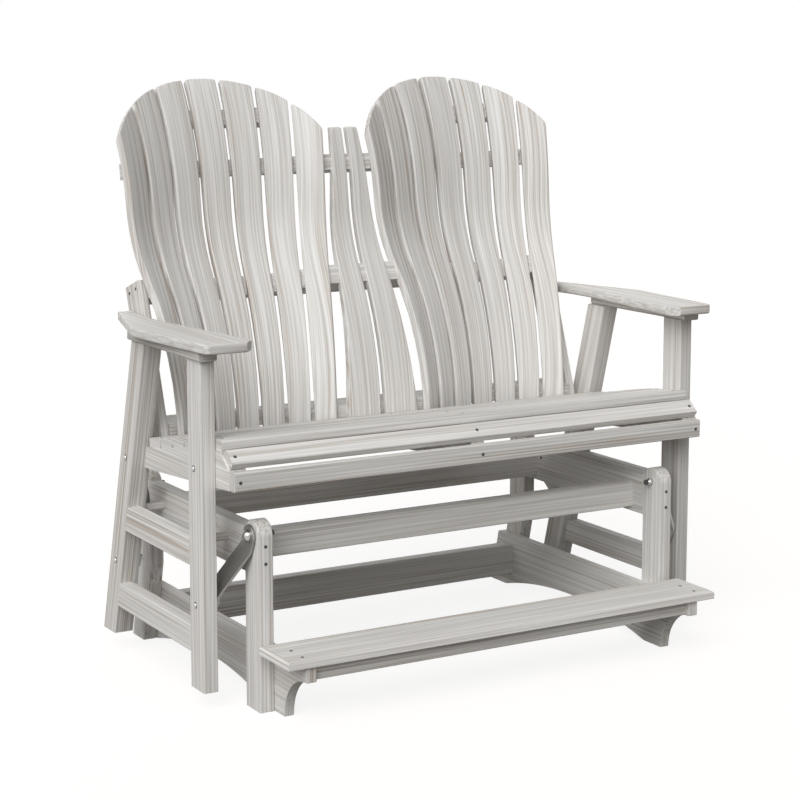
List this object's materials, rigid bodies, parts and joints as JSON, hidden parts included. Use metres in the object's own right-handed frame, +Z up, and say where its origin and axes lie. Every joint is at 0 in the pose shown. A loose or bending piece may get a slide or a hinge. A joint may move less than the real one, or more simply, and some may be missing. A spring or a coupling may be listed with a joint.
{
  "type": "outdoor glider",
  "caption": "Porch glider bench with dished fan backs, broad arms and a footrest; its slatted seat swings on joggled steel links hung from posts on arched runners.",
  "frame": {"origin": "on the floor under the middle of the whole bench", "axes": "+Z up, front of the bench towards -Y, +X to the right seen from the front"},
  "size_m": [1.316, 0.8704, 1.2742],
  "materials": {
    "frame_lumber": "weathered wood grain moulded into grey poly lumber",
    "slat_lumber": "weathered wood grain moulded into pale grey poly lumber",
    "link_steel": "satin stainless flat bar",
    "bolt_steel": "polished stainless"
  },
  "bodies": {
    "base": {"left_runner": "frame_lumber", "right_runner": "frame_lumber", "left_front_post": "frame_lumber", "right_front_post": "frame_lumber", "left_rear_post": "frame_lumber", "right_rear_post": "frame_lumber", "left_base_rail": "frame_lumber", "right_base_rail": "frame_lumber", "front_cross_bar": "frame_lumber", "rear_cross_bar": "frame_lumber", "lower_rear_bar": "frame_lumber", "footrest_board": "slat_lumber", "footrest_apron": "frame_lumber", "guide_pegs": "frame_lumber", "upper_pivot_bolts": "bolt_steel"},
    "front_links": {"left_front_link": "link_steel", "right_front_link": "link_steel"},
    "rear_links": {"left_rear_link": "link_steel", "right_rear_link": "link_steel"},
    "seat": {"left_front_leg": "frame_lumber", "right_front_leg": "frame_lumber", "left_rear_leg": "frame_lumber", "right_rear_leg": "frame_lumber", "left_upper_stretcher": "frame_lumber", "right_upper_stretcher": "frame_lumber", "left_lower_stretcher": "frame_lumber", "right_lower_stretcher": "frame_lumber", "left_seat_rail": "frame_lumber", "right_seat_rail": "frame_lumber", "centre_seat_rail": "frame_lumber", "seat_slats": "slat_lumber", "waterfall_slat": "slat_lumber", "seat_apron": "slat_lumber", "leg_bolts": "bolt_steel", "left_arm_cleat": "frame_lumber", "right_arm_cleat": "frame_lumber", "left_armrest": "slat_lumber", "right_armrest": "slat_lumber", "left_fan_slat_1": "slat_lumber", "right_fan_slat_1": "slat_lumber", "left_fan_slat_2": "slat_lumber", "right_fan_slat_2": "slat_lumber", "left_fan_slat_3": "slat_lumber", "right_fan_slat_3": "slat_lumber", "left_fan_slat_4": "slat_lumber", "right_fan_slat_4": "slat_lumber", "left_fan_slat_5": "slat_lumber", "right_fan_slat_5": "slat_lumber", "left_fan_slat_6": "slat_lumber", "right_fan_slat_6": "slat_lumber", "left_fan_slat_7": "slat_lumber", "right_fan_slat_7": "slat_lumber", "centre_slats": "slat_lumber", "left_upright": "frame_lumber", "right_upright": "frame_lumber", "upper_brace": "frame_lumber", "middle_brace": "frame_lumber", "lower_brace": "frame_lumber", "top_braces": "frame_lumber"}
  },
  "joints": [
    {"name": "front_link_swing", "type": "hinge", "parent": "base", "child": "front_links", "pos_m": [0, -0.2532, 0.366], "axis": [1, 0, 0], "range_deg": [-15, 15]},
    {"name": "seat_pivot", "type": "hinge", "parent": "front_links", "child": "seat", "pos_m": [0, -0.1897, 0.218], "axis": [1, 0, 0], "range_deg": [-19.5, 19.5]},
    {"name": "rear_link_swing", "type": "hinge", "parent": "base", "child": "rear_links", "pos_m": [0, 0.2988, 0.366], "axis": [1, 0, 0], "range_deg": [-15.1, 15.1]}
  ],
  "couplings": [
    {"joint": "seat_pivot", "follows": "front_link_swing", "ratio": -1.2919},
    {"joint": "rear_link_swing", "follows": "front_link_swing", "ratio": 1}
  ]
}
